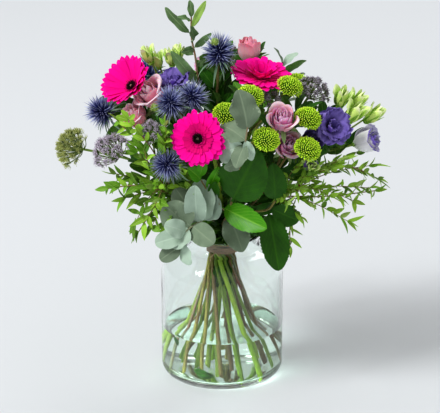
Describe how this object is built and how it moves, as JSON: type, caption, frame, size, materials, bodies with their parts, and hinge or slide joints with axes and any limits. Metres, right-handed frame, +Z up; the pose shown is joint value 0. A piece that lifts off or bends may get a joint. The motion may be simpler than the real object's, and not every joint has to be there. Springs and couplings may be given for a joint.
{
  "type": "mixed gerbera bouquet in a glass bottle vase",
  "caption": "Hand-tied mixed bouquet of mini gerberas, roses, thistles, green buttons and foliage, standing in water in a clear glass bottle vase with a round shoulder.",
  "frame": {"origin": "centre of the vase's underside, on the surface that it stands on", "axes": "+Z up along the vase's axis; -Y is the front of the bouquet, +X its right side seen from the front"},
  "size_m": [0.4117, 0.2698, 0.509],
  "materials": {
    "clear_glass": "clear blown soda glass, very slightly green, smooth",
    "water": "clear water with a faint green tint",
    "twine": "soft twisted natural bast twine, tan with a pink cast",
    "gerbera_petal": "velvety hot pink ray petals with a near-black eye",
    "rose_petal": "soft mauve pink petals, peach and pale green at the base",
    "thistle_head": "steel blue spiny cones over silvery bracts",
    "santini_floret": "lime green button chrysanthemum florets",
    "lisianthus_petal": "violet satin petals, pale at the throat",
    "lisianthus_pale": "furled petals, pale lilac with green outsides",
    "trachelium_head": "dusty grey lilac clusters of tiny buds",
    "umbel_head": "olive green seed umbel",
    "stem_green": "fresh light green stem, fine ribs and small nodes",
    "stem_brown": "green stem flushed purple brown",
    "eucalyptus_leaf": "silvery grey green leaves with a waxy bloom",
    "salal_leaf": "dark green leathery glossy leaves",
    "pistacia_leaf": "small fresh green leaflets on red brown stalks"
  },
  "bodies": {
    "root": {"vase": "clear_glass", "water": "water", "twine": "twine", "gerbera_left": "gerbera_petal", "gerbera_stem_left": "stem_green", "gerbera_front": "gerbera_petal", "gerbera_stem_front": "stem_green", "gerbera_top": "gerbera_petal", "gerbera_stem_top": "stem_green", "thistle_left": "thistle_head", "thistle_back": "thistle_head", "thistle_top": "thistle_head", "thistle_centre": "thistle_head", "thistle_middle": "thistle_head", "thistle_low": "thistle_head", "thistle_stem_left": "stem_brown", "thistle_stem_top": "stem_brown", "thistle_stem_front": "stem_brown", "rose_top": "rose_petal", "rose_stem_top": "stem_green", "rose_left": "rose_petal", "rose_stem_left": "stem_green", "rose_far_left": "rose_petal", "rose_stem_far_left": "stem_green", "rose_front": "rose_petal", "rose_stem_front": "stem_green", "rose_low": "rose_petal", "rose_stem_low": "stem_green", "rose_back": "rose_petal", "rose_stem_back": "stem_green", "santini_centre": "santini_floret", "santini_inner": "santini_floret", "santini_right": "santini_floret", "santini_outer": "santini_floret", "santini_front": "santini_floret", "santini_low": "santini_floret", "santini_back": "santini_floret", "santini_back_right": "santini_floret", "santini_stem_centre": "stem_brown", "santini_stem_front": "stem_brown", "santini_stem_back": "stem_brown", "lisianthus_open": "lisianthus_petal", "lisianthus_furled": "lisianthus_petal", "lisianthus_left": "lisianthus_petal", "lisianthus_closed": "lisianthus_pale", "lisianthus_stem_right": "stem_green", "lisianthus_stem_far_right": "stem_green", "lisianthus_stem_left": "stem_green", "trachelium_left": "trachelium_head", "trachelium_right": "trachelium_head", "wild_umbel": "umbel_head", "eucalyptus_top": "eucalyptus_leaf", "eucalyptus_centre": "eucalyptus_leaf", "eucalyptus_low": "eucalyptus_leaf", "eucalyptus_back": "eucalyptus_leaf", "salal_front": "salal_leaf", "salal_right": "salal_leaf", "salal_back": "salal_leaf", "pistacia_right": "pistacia_leaf", "pistacia_left": "pistacia_leaf"}
  },
  "joints": []
}
